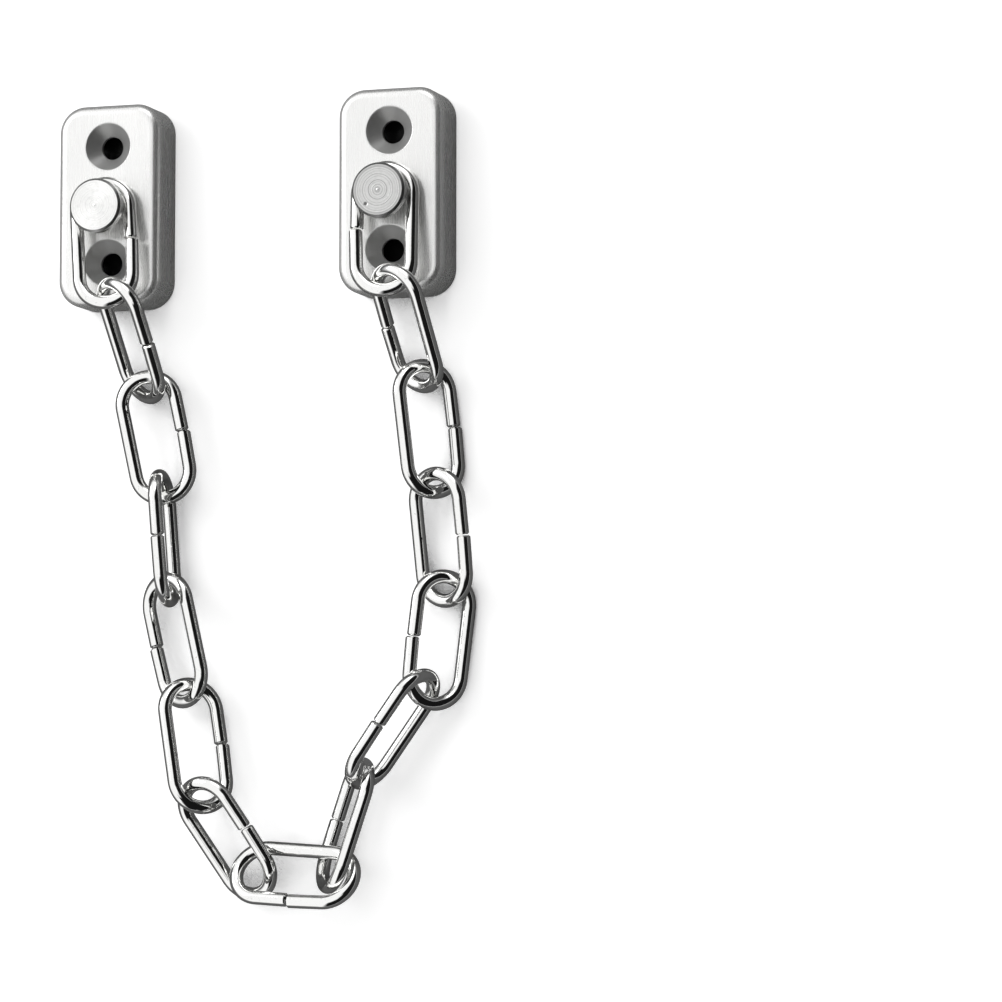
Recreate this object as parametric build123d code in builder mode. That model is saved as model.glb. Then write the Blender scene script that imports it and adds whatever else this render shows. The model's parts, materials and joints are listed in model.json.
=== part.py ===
from build123d import *

import os
from collections import namedtuple
from math import cos, radians, sin, tan

# A door chain guard: two pressed plates, each with a headed pin, joined by a
# chain of open bent-wire links. It lies flat on its back, chain loose.
# Units are millimetres and degrees. The origin is the middle of the frame
# plate's back, +Z stands out from the plates' faces, and +Y is up the plates.

# Plates: deep pans pressed from sheet, open at the back
PLATE_WIDTH = 24.2
PLATE_HEIGHT = 45.0
PLATE_DEPTH = 10.0
PLATE_CORNER = 6.0
PLATE_EDGE = 2.2          # rounding where the face turns into the walls
SHEET = 1.5

# Screw holes, one above the other
SCREW_SPACING = 26.0
SCREW_RADIUS = 2.55
SINK_RADIUS = 5.3
SINK_ANGLE = 90.0
SINK_LAND = 0.9           # straight wall under each countersink
SINK_LIP = 0.35           # rounding of each countersink's mouth

# Headed pins, riveted through the plates
PIN_DROP = 1.2            # how far each pin stands below the plate's middle
NECK_RADIUS = 3.0
SHANK_RADIUS = 4.0
SHANK_LENGTH = 5.2
HEAD_RADIUS = 6.0
HEAD_THICKNESS = 2.4
HEAD_CHAMFER = 0.5
HEAD_BACK_CHAMFER = 0.3
NIB_RADIUS = 0.35         # centre nib left by the facing cut
NIB_HEIGHT = 0.12
TAIL_RADIUS = 4.1
TAIL_HEIGHT = 1.2
NECK_CLEARANCE = 0.05
WASHER_RADIUS = 4.8
WASHER_THICKNESS = 1.2
WASHER_CLEARANCE = 0.1

# Chain links: one length of round wire bent into an open loop
WIRE = 3.0
LINK_LENGTH = 27.6        # both measured between wire centres
LINK_WIDTH = 12.2
SEAM_GAP = 0.25
SEAM_LEAN = 2.0           # the lower half of the seam leg leans out this much
SEAM_CHAMFER = 0.3
PLAY = 0.3                # clearance between two hooked wires
PIN_PLAY = 0.15           # clearance between an end link and its pin and plate

# Worked out from the above
BEND_RADIUS = LINK_WIDTH / 2
LEG_HALF = (LINK_LENGTH - LINK_WIDTH) / 2
HALF_LINK = LINK_LENGTH / 2
PIN_SEAT = SHANK_RADIUS + WIRE / 2 + PIN_PLAY

# How each link lies, from the frame plate round to the door plate.
#   heading  clockwise from +Y, of the link's upper end
#   tilt     how far that end is raised
#   roll     how far the link's right leg is raised about its length
#   holds    where the link before it holds the wire, round its end bend
#   held     where this link's own wire is held, round its end bend
#   seam     +1 where the seam is in the right leg, -1 in the left
Lie = namedtuple("Lie", "name heading tilt roll holds held seam")
CHAIN = [
    Lie("end_link_frame", -7, -9, -5, 0, 0, 1),
    Lie("chain_link_01", -7, 30, 37, -22, -57, 1),
    Lie("chain_link_02", -13, -1, -8, -45, -31, 1),
    Lie("chain_link_03", -5, -1, -97, -7, 59, -1),
    Lie("chain_link_04", -14, -3, 26, 74, 1, -1),
    Lie("chain_link_05", -11, -6, -45, 22, 11, 1),
    Lie("chain_link_06", -31, 14, 25, -57, -15, 1),
    Lie("chain_link_07", -86, -5, -28, 116, 68, -1),
    Lie("chain_link_08", 19, 1, 52, -19, 57, -1),
    Lie("chain_link_09", 35, -2, -76, 47, -19, -1),
    Lie("chain_link_10", 6, -3, -43, 66, 12, -1),
    Lie("chain_link_11", -4, 6, 22, 44, 37, 1),
    Lie("chain_link_12", -6, 3, -45, -33, -30, 1),
    Lie("chain_link_13", -7, 29, 32, 41, 37, -1),
    Lie("end_link_door", -2, -8.5, -6, -56, -28, -1),
]
LOWEST = 7                # the chain turns back up after this link


def turned(lie):
    """A link's plane at the origin: x across its width, y along its length."""
    heading = Location((0, 0, 0), (0, 0, 1), -lie.heading)
    tilt = Location((0, 0, 0), (1, 0, 0), lie.tilt)
    roll = Location((0, 0, 0), (0, 1, 0), -lie.roll)
    return Plane(heading * tilt * roll)


def bend(end, angle):
    """A point on an end bend, angle away from its tip, and the wire's direction there."""
    across = sin(radians(angle))
    along = cos(radians(angle))
    point = Vector(BEND_RADIUS * across, end * (LEG_HALF + BEND_RADIUS * along), 0)
    direction = Vector(along, -end * across, 0)
    return point, direction


def first_link(lie):
    """The end link hung on the frame pin, its pin end resting on the plate's face."""
    plane = turned(lie)
    length = plane.y_dir
    level = Vector(length.X, length.Y, 0).normalized()
    tip = Vector(0, -PIN_DROP, 0) + level * PIN_SEAT
    dip = LEG_HALF * abs(length.Z)
    dip += BEND_RADIUS * (length.Z**2 + plane.x_dir.Z**2) ** 0.5
    height = PLATE_DEPTH + PIN_PLAY + WIRE / 2 + dip
    middle = Vector(tip.X - HALF_LINK * length.X, tip.Y - HALF_LINK * length.Y, height)
    return Plane(middle, plane.x_dir, plane.z_dir)


def hooked_link(lie, holder, holder_end, own_end):
    """The next link, its wire crossing the holder's wire with PLAY between them."""
    plane = turned(lie)
    grip, grip_wire = bend(holder_end, lie.holds)
    tip, tip_wire = bend(own_end, lie.held)
    across = holder.x_dir * grip_wire.X + holder.y_dir * grip_wire.Y
    own_across = plane.x_dir * tip_wire.X + plane.y_dir * tip_wire.Y
    apart = across.cross(own_across).normalized()
    inward = Vector(0, holder_end * LEG_HALF, 0) - grip
    if apart.dot(holder.x_dir * inward.X + holder.y_dir * inward.Y) < 0:
        apart = apart * -1
    middle = holder.from_local_coords(grip) + apart * (WIRE + PLAY)
    middle = middle - plane.x_dir * tip.X - plane.y_dir * tip.Y
    return Plane(middle, plane.x_dir, plane.z_dir)


def laid_chain():
    """The plane of every link, in order."""
    planes = [first_link(CHAIN[0])]
    for index, lie in enumerate(CHAIN[1:], start=1):
        holder_end = -1 if index - 1 <= LOWEST else 1
        own_end = 1 if index <= LOWEST else -1
        planes.append(hooked_link(lie, planes[-1], holder_end, own_end))
    return planes


def door_plate_plane(last):
    """The door plate's back, placed so that its pin stands in the last link's bend."""
    level = Vector(last.y_dir.X, last.y_dir.Y, 0).normalized()
    tip = last.origin + last.y_dir * HALF_LINK
    pin = Vector(tip.X, tip.Y, 0) - level * PIN_SEAT
    return Plane.XY.shift_origin((pin.X, pin.Y + PIN_DROP, 0))


def bent_link(plane, seam):
    """One open link: wire bent round two bends, its two ends facing in one leg."""
    leg = seam * LINK_WIDTH / 2
    leant = radians(SEAM_LEAN)
    rise = (LEG_HALF - SEAM_GAP / 2 + BEND_RADIUS * sin(leant)) / cos(leant)
    with BuildPart() as link:
        with BuildLine(plane) as wire:
            Line((leg, SEAM_GAP / 2), (leg, LEG_HALF))
            top = CenterArc((0, LEG_HALF), BEND_RADIUS, 90 - seam * 90, seam * 180)
            Line(top @ 1, (-leg, -LEG_HALF))
            bottom = CenterArc((0, -LEG_HALF), BEND_RADIUS, 90 + seam * 90, seam * (180 - SEAM_LEAN))
            PolarLine(bottom @ 1, rise, 90 - seam * SEAM_LEAN)
        with BuildSketch(Plane(wire.line @ 0, z_dir=wire.line % 0)):
            Circle(WIRE / 2)
        sweep(path=wire.line)
        chamfer(link.faces().filter_by(GeomType.PLANE).edges(), SEAM_CHAMFER)
    return link.part


def pressed_plate(back):
    """A pan pressed from sheet, with two pressed countersinks and a hole for the pin."""
    sink_depth = (SINK_RADIUS - SCREW_RADIUS) / tan(radians(SINK_ANGLE / 2))
    sink_bottom = PLATE_DEPTH - sink_depth - SINK_LAND
    cup_height = PLATE_DEPTH - SHEET - sink_bottom
    with BuildPart() as plate:
        with BuildSketch(back):
            RectangleRounded(PLATE_WIDTH, PLATE_HEIGHT, PLATE_CORNER)
        extrude(amount=PLATE_DEPTH)
        fillet(plate.faces().sort_by(Axis.Z)[-1].edges(), PLATE_EDGE)
        offset(amount=-SHEET, openings=plate.faces().sort_by(Axis.Z)[0])
        with Locations(back.offset(sink_bottom + cup_height / 2)):
            with GridLocations(0, SCREW_SPACING, 1, 2):
                Cone(SCREW_RADIUS + SHEET, SINK_RADIUS + SHEET / 2, cup_height)
        with Locations(back.offset(PLATE_DEPTH)):
            with GridLocations(0, SCREW_SPACING, 1, 2):
                CounterSinkHole(SCREW_RADIUS, SINK_RADIUS, counter_sink_angle=SINK_ANGLE)
            with Locations((0, -PIN_DROP)):
                Hole(NECK_RADIUS + NECK_CLEARANCE)
        mouths = plate.edges().filter_by(GeomType.CIRCLE).filter_by(
            lambda edge: abs(edge.radius - SINK_RADIUS) < SINK_LIP / 10
        )
        fillet(mouths, SINK_LIP)
    return plate.part


def headed_pin(back):
    """A turned pin: riveted tail, neck through the plate, shank, and a chamfered head."""
    tail_top = PLATE_DEPTH - SHEET - WASHER_THICKNESS
    head_under = PLATE_DEPTH + SHANK_LENGTH
    head_top = head_under + HEAD_THICKNESS
    axis = back.shift_origin(back.from_local_coords((0, -PIN_DROP, 0)))
    section = Plane(axis.origin, x_dir=axis.x_dir, z_dir=-axis.y_dir)
    with BuildPart() as pin:
        with BuildSketch(section):
            with BuildLine():
                Polyline(
                    (0, tail_top - TAIL_HEIGHT),
                    (TAIL_RADIUS - TAIL_HEIGHT, tail_top - TAIL_HEIGHT),
                    (TAIL_RADIUS, tail_top),
                    (NECK_RADIUS, tail_top),
                    (NECK_RADIUS, PLATE_DEPTH),
                    (SHANK_RADIUS, PLATE_DEPTH),
                    (SHANK_RADIUS, head_under),
                    (HEAD_RADIUS - HEAD_BACK_CHAMFER, head_under),
                    (HEAD_RADIUS, head_under + HEAD_BACK_CHAMFER),
                    (HEAD_RADIUS, head_top - HEAD_CHAMFER),
                    (HEAD_RADIUS - HEAD_CHAMFER, head_top),
                    (NIB_RADIUS, head_top),
                    (0, head_top + NIB_HEIGHT),
                    close=True,
                )
            make_face()
        revolve(axis=Axis(axis.origin, axis.z_dir))
    return pin.part


def rivet_washer(back):
    """The washer that each pin's tail is riveted over, under the plate's face."""
    level = PLATE_DEPTH - SHEET - WASHER_THICKNESS
    middle = back.offset(level)
    middle = middle.shift_origin(middle.from_local_coords((0, -PIN_DROP, 0)))
    with BuildPart() as washer:
        with BuildSketch(middle):
            Circle(WASHER_RADIUS)
            Circle(NECK_RADIUS + WASHER_CLEARANCE, mode=Mode.SUBTRACT)
        extrude(amount=WASHER_THICKNESS)
    return washer.part


def save(piece, name):
    """Label a finished piece and write it to its own file."""
    piece.label = name
    export_step(piece, f"parts/{name}.step")


def main():
    os.makedirs("parts", exist_ok=True)
    link_planes = laid_chain()
    backs = {"frame": Plane.XY, "door": door_plate_plane(link_planes[-1])}
    for side, back in backs.items():
        save(pressed_plate(back), f"{side}_plate")
        save(headed_pin(back), f"{side}_pin")
        save(rivet_washer(back), f"{side}_rivet_washer")
    for lie, plane in zip(CHAIN, link_planes):
        save(bent_link(plane, lie.seam), lie.name)


main()
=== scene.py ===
import json
import math

import bpy
from mathutils import Matrix, Vector


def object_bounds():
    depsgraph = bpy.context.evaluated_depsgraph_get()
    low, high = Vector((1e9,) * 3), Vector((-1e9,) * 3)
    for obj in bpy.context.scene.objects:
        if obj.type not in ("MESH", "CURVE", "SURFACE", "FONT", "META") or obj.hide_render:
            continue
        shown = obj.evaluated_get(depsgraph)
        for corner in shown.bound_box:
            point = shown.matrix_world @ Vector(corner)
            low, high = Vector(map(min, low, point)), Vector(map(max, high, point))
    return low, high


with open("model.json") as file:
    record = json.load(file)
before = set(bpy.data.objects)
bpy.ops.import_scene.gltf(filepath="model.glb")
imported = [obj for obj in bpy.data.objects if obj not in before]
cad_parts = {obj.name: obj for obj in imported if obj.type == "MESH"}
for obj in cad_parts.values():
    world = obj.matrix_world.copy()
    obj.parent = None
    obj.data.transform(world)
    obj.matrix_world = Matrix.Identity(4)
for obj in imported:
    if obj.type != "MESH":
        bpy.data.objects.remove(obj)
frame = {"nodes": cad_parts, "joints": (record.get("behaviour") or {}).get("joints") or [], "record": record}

# A door chain guard lying on a pale floor: satin pressed plates, turned pins and
# a slack chain of polished wire links. Lengths are metres, angles are degrees.
cad_low, cad_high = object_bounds()
MM = 0.001

# Camera: almost straight above, leaning a little to the right and the lower end
CAMERA_LEAN_RIGHT = 17.68
CAMERA_LEAN_DOWN = 5.25
CAMERA_DISTANCE = 1.0
CAMERA_NEAR = CAMERA_DISTANCE / 20   # nothing closer to it is drawn
CAMERA_LENS = 166.15
CAMERA_AIM = Vector((0.0882, -0.06744, 0.0))

# Studio tent, as grey levels. Heights are sines of an elevation, and a soft edge is
# the height over which one grey fades into the next.
TENT_WHITE = 1.0
TENT_FOOT = 0.10          # the foot goes round the horizon and pales on the way up
TENT_FOOT_START = 0.05
TENT_FOOT_TOP = 0.36
BAND_DARK = 0.008         # a dark opening on the right, from low down to well up
BAND_BOTTOM = 0.18
BAND_BOTTOM_SOFT = 0.04
BAND_TOP = 0.95
BAND_TOP_SOFT = 0.05
BAND_SWAY = 0.10          # how much the opening's edges wander up and down
BAND_FACING = -22.0       # heading of the opening's middle, from +X
BAND_REACH = 0.02         # cosine of the angle at which the opening ends
BAND_REACH_SOFT = 0.3     # in the same cosine
VEIL_TOP = 0.985          # a mottled grey veil hangs over the opening's upper edge
VEIL_TOP_SOFT = 0.06
VEIL_DARK = 0.12
VEIL_PALE = 0.75

# Floor
FLOOR_REACH = 6.0
FLOOR_DROP = 0.0001       # it lies this far under the plates
FLOOR_GREYS = (0.94, 0.97)   # its fibres vary between these
FLOOR_SHEEN = 0.15        # the floor as the metal reflects it
FLOOR_LIFT = 0.5          # the floor's own glow to the camera, which keeps shadows faint
COVER_DISTANCE = 0.025    # painted shade: the floor goes dark where something covers it this closely
COVER_SAMPLES = 8
# painted shade: the grey of the floor where something covers it
COVER_SHADE_GREY = 0.02
COVER_OPEN = (0.3, 0.5)   # share of open sky at which it is fully dark, and pale again

# Metals
STEEL = (0.88, 0.88, 0.87)
SINK_RADIUS = 0.0053      # mouth of a countersink
SINK_EDGE = (1.08, 0.93)  # its painted shade and rougher, ringed finish fade in between these shares of the radius
SINK_RINGS = 26000.0      # radians per metre, as for the pins' rings
PIN_RINGS = 15000.0
NICK_PLACE = (-0.0027, -0.0030)   # a small nick in one head, from its axis
NICK_EDGE = (0.0006, 0.0002)      # the radii between which it gets deeper
NICK_DEPTH = 6.0                  # in heights of the turned rings

# The colour sockets of a mix node, which share their names with its other sockets
MIX_FIRST = 6
MIX_SECOND = 7
MIX_RESULT = 2


class Tree:
    """A node tree being filled in, with short calls for the nodes used here."""

    def __init__(self, owner):
        owner.use_nodes = True
        self.tree = owner.node_tree
        self.tree.nodes.clear()

    def add(self, kind, **settings):
        node = self.tree.nodes.new(kind)
        for name, value in settings.items():
            setattr(node, name, value)
        return node

    def feed(self, socket, value):
        if isinstance(value, bpy.types.NodeSocket):
            self.tree.links.new(value, socket)
        else:
            socket.default_value = value

    def math(self, operation, *values):
        node = self.add("ShaderNodeMath", operation=operation)
        for socket, value in zip(node.inputs, values):
            self.feed(socket, value)
        return node.outputs[0]

    def ramp(self, value, start, end, low=0.0, high=1.0):
        """Goes smoothly from low to high as value goes from start to end."""
        node = self.add("ShaderNodeMapRange", interpolation_type="SMOOTHSTEP")
        for name, number in (("Value", value), ("From Min", start), ("From Max", end),
                             ("To Min", low), ("To Max", high)):
            self.feed(node.inputs[name], number)
        return node.outputs["Result"]

    def mix(self, factor, first, second):
        node = self.add("ShaderNodeMix", data_type="RGBA")
        self.feed(node.inputs["Factor"], factor)
        self.feed(node.inputs[MIX_FIRST], first)
        self.feed(node.inputs[MIX_SECOND], second)
        return node.outputs[MIX_RESULT]

    def noise(self, place, scale, detail, stretch=None):
        """Cloudy noise; stretch gives each axis a scale of its own."""
        if stretch:
            mapping = self.add("ShaderNodeMapping")
            self.feed(mapping.inputs["Vector"], place)
            self.feed(mapping.inputs["Scale"], stretch)
            place = mapping.outputs[0]
        node = self.add("ShaderNodeTexNoise")
        self.feed(node.inputs["Vector"], place)
        self.feed(node.inputs["Scale"], scale)
        self.feed(node.inputs["Detail"], detail)
        return node.outputs["Fac"]

    def bump(self, height, distance, strength, normal=None):
        node = self.add("ShaderNodeBump")
        self.feed(node.inputs["Height"], height)
        self.feed(node.inputs["Distance"], distance)
        self.feed(node.inputs["Strength"], strength)
        if normal:
            self.feed(node.inputs["Normal"], normal)
        return node.outputs[0]

    def about(self, middle, turn=0.0):
        """Places measured from middle, along axes turned about +Z."""
        coords = self.add("ShaderNodeTexCoord")
        mapping = self.add("ShaderNodeMapping", vector_type="TEXTURE")
        self.feed(mapping.inputs["Vector"], coords.outputs["Object"])
        self.feed(mapping.inputs["Location"], middle)
        self.feed(mapping.inputs["Rotation"], (0.0, 0.0, math.radians(turn)))
        return mapping.outputs[0]

    def parts(self, place):
        node = self.add("ShaderNodeSeparateXYZ")
        self.feed(node.inputs[0], place)
        return node.outputs

    def radius(self, place, up=0.0):
        """Distance from the line parallel to Z that stands `up` along Y."""
        x, y, _ = self.parts(place)
        along = self.math("SUBTRACT", y, up)
        squares = (self.math("MULTIPLY", part, part) for part in (x, along))
        return self.math("SQRT", self.math("ADD", *squares))

    def output(self, kind, shader):
        out = self.add(kind)
        self.tree.links.new(shader.outputs[0], out.inputs["Surface"])

    def metal(self, color, roughness, normal, metallic=1.0, **others):
        """The material's one shader; others are sockets, by their names in small letters."""
        shader = self.add("ShaderNodeBsdfPrincipled")
        self.feed(shader.inputs["Metallic"], metallic)
        self.feed(shader.inputs["Base Color"], color)
        self.feed(shader.inputs["Roughness"], roughness)
        self.feed(shader.inputs["Normal"], normal)
        for name, value in others.items():
            self.feed(shader.inputs[name.title()], value)
        self.output("ShaderNodeOutputMaterial", shader)


def grey(level):
    return (level, level, level, 1.0)


def tinted(level):
    return tuple(level * part for part in STEEL) + (1.0,)


def polished_wire(name):
    """Mirror-polished wire: faintly wavy, with fine rub marks and darker dull specks."""
    material = bpy.data.materials.new(name)
    tree = Tree(material)
    place = tree.about((0.0, 0.0, 0.0))
    waves = tree.noise(place, scale=420.0, detail=2.0)
    rubs = tree.noise(place, scale=5200.0, detail=4.0)
    specks = tree.ramp(tree.noise(place, scale=1500.0, detail=3.0), 0.60, 0.74)
    color = tree.mix(specks, tinted(1.06), tinted(0.92))
    rubbed = tree.ramp(rubs, 0.35, 0.75, low=0.035, high=0.075)
    roughness = tree.math("MULTIPLY_ADD", specks, 0.08, rubbed)
    wavy = tree.bump(waves, distance=0.00004, strength=0.55)
    tree.metal(color, roughness, tree.bump(rubs, distance=0.000002, strength=0.5, normal=wavy))
    return material


def satin_plate(name, middle, turn, screw_rise):
    """Satin sheet: fine grain along the plate, and countersinks with turned rings and painted shade."""
    material = bpy.data.materials.new(name)
    tree = Tree(material)
    place = tree.about(middle, turn)
    grain = tree.noise(place, scale=1.0, detail=4.0, stretch=(5200.0, 170.0, 1600.0))
    hairs = tree.noise(place, scale=1.0, detail=2.0, stretch=(12000.0, 90.0, 2500.0))
    cloud = tree.noise(place, scale=130.0, detail=3.0)
    near = tree.math("MINIMUM", tree.radius(place, screw_rise), tree.radius(place, -screw_rise))
    in_sink = tree.ramp(near, *(SINK_RADIUS * share for share in SINK_EDGE))
    rings = tree.math("MULTIPLY", tree.math("SINE", tree.math("MULTIPLY", near, SINK_RINGS)), 0.3)
    flat = tree.math("MULTIPLY_ADD", grain, 0.6, tree.math("MULTIPLY", hairs, 0.4))
    height = tree.mix(in_sink, flat, rings)
    streaks = tree.mix(tree.ramp(grain, 0.42, 0.62), tinted(1.02), tinted(1.08))
    clouded = tree.mix(tree.ramp(cloud, 0.35, 0.7), streaks, tinted(1.04))
    # Painted shade: the countersinks' recess is coloured darker than the sheet.
    color = tree.mix(in_sink, clouded, tinted(0.60))
    satin = tree.ramp(hairs, 0.35, 0.65, low=0.24, high=0.34)
    roughness = tree.math("MULTIPLY_ADD", in_sink, 0.08, satin)
    normal = tree.bump(height, distance=0.000010, strength=0.5)
    tree.metal(color, roughness, normal, metallic=0.75, anisotropic=0.35)
    return material


def turned_pin(name, middle, brightness, ring_depth, ring_shade, nicked):
    """A lathe-turned pin: uneven rings on its faces, lines round its sides, painted shade in their grooves.
    """
    material = bpy.data.materials.new(name)
    tree = Tree(material)
    place = tree.about(middle)
    away = tree.radius(place)
    _, _, level = tree.parts(place)
    wander = tree.noise(place, scale=500.0, detail=2.0)
    spread = tree.math("MULTIPLY_ADD", wander, 0.0002, tree.math("ADD", away, level))
    across = tree.add("ShaderNodeCombineXYZ")
    tree.feed(across.inputs["X"], spread)
    uneven = tree.noise(across.outputs[0], scale=1900.0, detail=4.0)
    fine = tree.math("SINE", tree.math("MULTIPLY", spread, PIN_RINGS))
    rings = tree.math("MULTIPLY_ADD", fine, 0.12, tree.ramp(uneven, 0.3, 0.7, low=-1.0, high=1.0))
    nick = 0.0
    if nicked:
        spot = (middle[0] + NICK_PLACE[0], middle[1] + NICK_PLACE[1], 0.0)
        nick = tree.ramp(tree.radius(tree.about(spot)), *NICK_EDGE)
    wear = tree.ramp(tree.noise(place, scale=900.0, detail=3.0), 0.45, 0.75)
    worn = tree.mix(wear, tinted(brightness), tinted(brightness * 0.93))
    # Painted shade: the colour darkens in the turned grooves, the more so with a higher ring_shade.
    groove_shade = tree.math("MULTIPLY", tree.ramp(rings, -0.3, 0.9), ring_shade)
    ringed = tree.mix(groove_shade, worn, tinted(brightness * 0.5))
    color = tree.mix(nick, ringed, tinted(0.15))
    roughness = tree.ramp(uneven, 0.3, 0.7, low=0.2, high=0.32)
    height = tree.math("MULTIPLY_ADD", nick, -NICK_DEPTH, rings)
    normal = tree.bump(height, distance=ring_depth, strength=0.6)
    tangent = tree.add("ShaderNodeTangent", direction_type="RADIAL", axis="Z").outputs[0]
    tree.metal(color, roughness, normal, anisotropic=0.6, tangent=tangent)
    return material


def plain_washer(name):
    """Stamped washer: dull, slightly mottled."""
    material = bpy.data.materials.new(name)
    tree = Tree(material)
    mottle = tree.noise(tree.about((0.0, 0.0, 0.0)), scale=900.0, detail=4.0)
    color = tree.mix(mottle, tinted(0.7), tinted(0.9))
    roughness = tree.ramp(mottle, 0.3, 0.7, low=0.3, high=0.45)
    tree.metal(color, roughness, tree.bump(mottle, distance=0.000008, strength=0.5))
    return material


def dress(node, material):
    """Give every slot of a CAD node one material."""
    for slot in frame["nodes"][node].material_slots:
        slot.material = material


def dress_side(side, brightness, ring_depth, ring_shade, nicked):
    """The plate, pin and washer of one side, their patterns centred where they stand."""
    mounts = {mount["name"]: mount for mount in frame["record"]["mounts"]}
    pins = {joint["name"]: joint["pos_m"] for joint in frame["joints"]}
    screws = mounts[f"{side}_screws"]
    middle = Vector(screws["pos_m"])
    rim = Vector(mounts[f"{side}_plate_back"]["pos_m"]) - middle
    turn = math.degrees(math.atan2(rim.y, rim.x))
    rise = screws["dims"]["pcd_mm"] / 2 * MM
    dress(f"{side}_plate", satin_plate(f"{side}_satin", (middle.x, middle.y, 0.0), turn, rise))
    x, y, _ = pins[f"{side}_pin_swivel"]
    turned = turned_pin(f"{side}_turned", (x, y, 0.0), brightness, ring_depth, ring_shade, nicked)
    dress(f"{side}_pin", turned)
    dress(f"{side}_rivet_washer", plain_washer(f"{side}_washer"))


def dress_links():
    wire = polished_wire("polished_wire_mirror")
    for node in frame["nodes"]:
        if "link" in node:
            dress(node, wire)


def studio_world():
    """The tent that the metal reflects; the camera itself sees plain white."""
    world = bpy.data.worlds.new("studio")
    bpy.context.scene.world = world
    tree = Tree(world)
    direction = tree.add("ShaderNodeTexCoord").outputs["Generated"]
    x, y, z = tree.parts(direction)
    heading = math.radians(BAND_FACING)
    along = tree.math("MULTIPLY", x, math.cos(heading))
    toward = tree.math("MULTIPLY_ADD", y, math.sin(heading), along)
    facing = tree.math("DIVIDE", toward, tree.radius(direction))
    reach = tree.ramp(facing, BAND_REACH, BAND_REACH + BAND_REACH_SOFT)
    sway = tree.math("SUBTRACT", tree.noise(direction, scale=9.0, detail=3.0), 0.5)
    height = tree.math("MULTIPLY_ADD", sway, BAND_SWAY, z)
    bottom = tree.ramp(height, BAND_BOTTOM, BAND_BOTTOM + BAND_BOTTOM_SOFT)
    above = tree.math("MULTIPLY", reach, bottom)
    veiled = tree.math("MULTIPLY", above, tree.ramp(height, VEIL_TOP, VEIL_TOP - VEIL_TOP_SOFT))
    opened = tree.math("MULTIPLY", above, tree.ramp(height, BAND_TOP, BAND_TOP - BAND_TOP_SOFT))
    mottle = tree.noise(direction, scale=26.0, detail=2.0)
    veil = tree.ramp(mottle, 0.35, 0.65, VEIL_DARK, VEIL_PALE)
    tent = tree.ramp(z, TENT_FOOT_START, TENT_FOOT_TOP, TENT_FOOT, TENT_WHITE)
    tent = tree.mix(veiled, tent, veil)
    tent = tree.mix(opened, tent, grey(BAND_DARK))
    camera_ray = tree.add("ShaderNodeLightPath").outputs["Is Camera Ray"]
    background = tree.add("ShaderNodeBackground")
    tree.feed(background.inputs["Color"], tree.mix(camera_ray, tent, grey(1.0)))
    tree.output("ShaderNodeOutputWorld", background)


def floor_paper():
    """Pale paper, which the metal reflects as dark grey and which has painted shade where covered."""
    material = bpy.data.materials.new("floor_paper")
    tree = Tree(material)
    ray = tree.add("ShaderNodeLightPath").outputs
    # Painted shade: the paper is coloured nearly black where something covers it closely.
    cover = tree.add("ShaderNodeAmbientOcclusion", samples=COVER_SAMPLES)
    tree.feed(cover.inputs["Distance"], COVER_DISTANCE)
    uncovered = tree.ramp(cover.outputs["AO"], *COVER_OPEN)
    fibres = tree.noise(tree.about((0.0, 0.0, 0.0)), scale=60.0, detail=2.0)
    fibrous = tree.mix(fibres, *(grey(level) for level in FLOOR_GREYS))
    pale = tree.mix(uncovered, grey(COVER_SHADE_GREY), fibrous)
    paper = tree.add("ShaderNodeBsdfDiffuse")
    tree.feed(paper.inputs["Color"], tree.mix(ray["Is Glossy Ray"], pale, grey(FLOOR_SHEEN)))
    glow = tree.add("ShaderNodeEmission")
    lift = tree.math("MULTIPLY", ray["Is Camera Ray"], FLOOR_LIFT)
    tree.feed(glow.inputs["Strength"], tree.math("MULTIPLY", uncovered, lift))
    both = tree.add("ShaderNodeAddShader")
    tree.feed(both.inputs[0], paper.outputs[0])
    tree.feed(both.inputs[1], glow.outputs[0])
    tree.output("ShaderNodeOutputMaterial", both)
    return material


def studio_floor():
    mesh = bpy.data.meshes.new("floor")
    level = cad_low.z - FLOOR_DROP
    quarters = ((-1, -1), (1, -1), (1, 1), (-1, 1))
    corners = [(FLOOR_REACH * x, FLOOR_REACH * y, level) for x, y in quarters]
    mesh.from_pydata(corners, [], [(0, 1, 2, 3)])
    mesh.materials.append(floor_paper())
    floor = bpy.data.objects.new("floor", mesh)
    bpy.context.collection.objects.link(floor)


def softbox(name, place, size, power):
    """A square area light aimed at the middle of the object."""
    light = bpy.data.lights.new(name, "AREA")
    light.size = size
    light.energy = power
    lamp = bpy.data.objects.new(name, light)
    lamp.location = place
    middle = (cad_low + cad_high) / 2
    lamp.rotation_euler = (middle - place).to_track_quat("-Z", "Y").to_euler()
    bpy.context.collection.objects.link(lamp)


def studio_camera():
    right = math.radians(CAMERA_LEAN_RIGHT)
    down = math.radians(CAMERA_LEAN_DOWN)
    back = Vector((
        math.sin(right) * math.cos(down),
        -math.sin(down),
        math.cos(right) * math.cos(down),
    ))
    side = Vector((0.0, 1.0, 0.0)).cross(back).normalized()
    turn = Matrix((side, back.cross(side), back)).transposed().to_4x4()
    camera = bpy.data.objects.new("camera", bpy.data.cameras.new("camera"))
    camera.data.lens = CAMERA_LENS
    camera.data.clip_start = CAMERA_NEAR
    camera.matrix_world = Matrix.Translation(CAMERA_AIM + back * CAMERA_DISTANCE) @ turn
    bpy.context.collection.objects.link(camera)
    bpy.context.scene.camera = camera


studio_camera()
studio_world()
studio_floor()
softbox("key", place=Vector((-0.95, 0.45, 0.75)), size=0.7, power=4.0)
softbox("fill", place=Vector((0.2, 1.0, 0.7)), size=0.6, power=1.5)
bpy.context.scene.view_settings.view_transform = "Standard"

dress_side("frame", brightness=1.04, ring_depth=0.000008, ring_shade=0.25, nicked=False)
dress_side("door", brightness=0.74, ring_depth=0.000024, ring_shade=0.85, nicked=True)
dress_links()
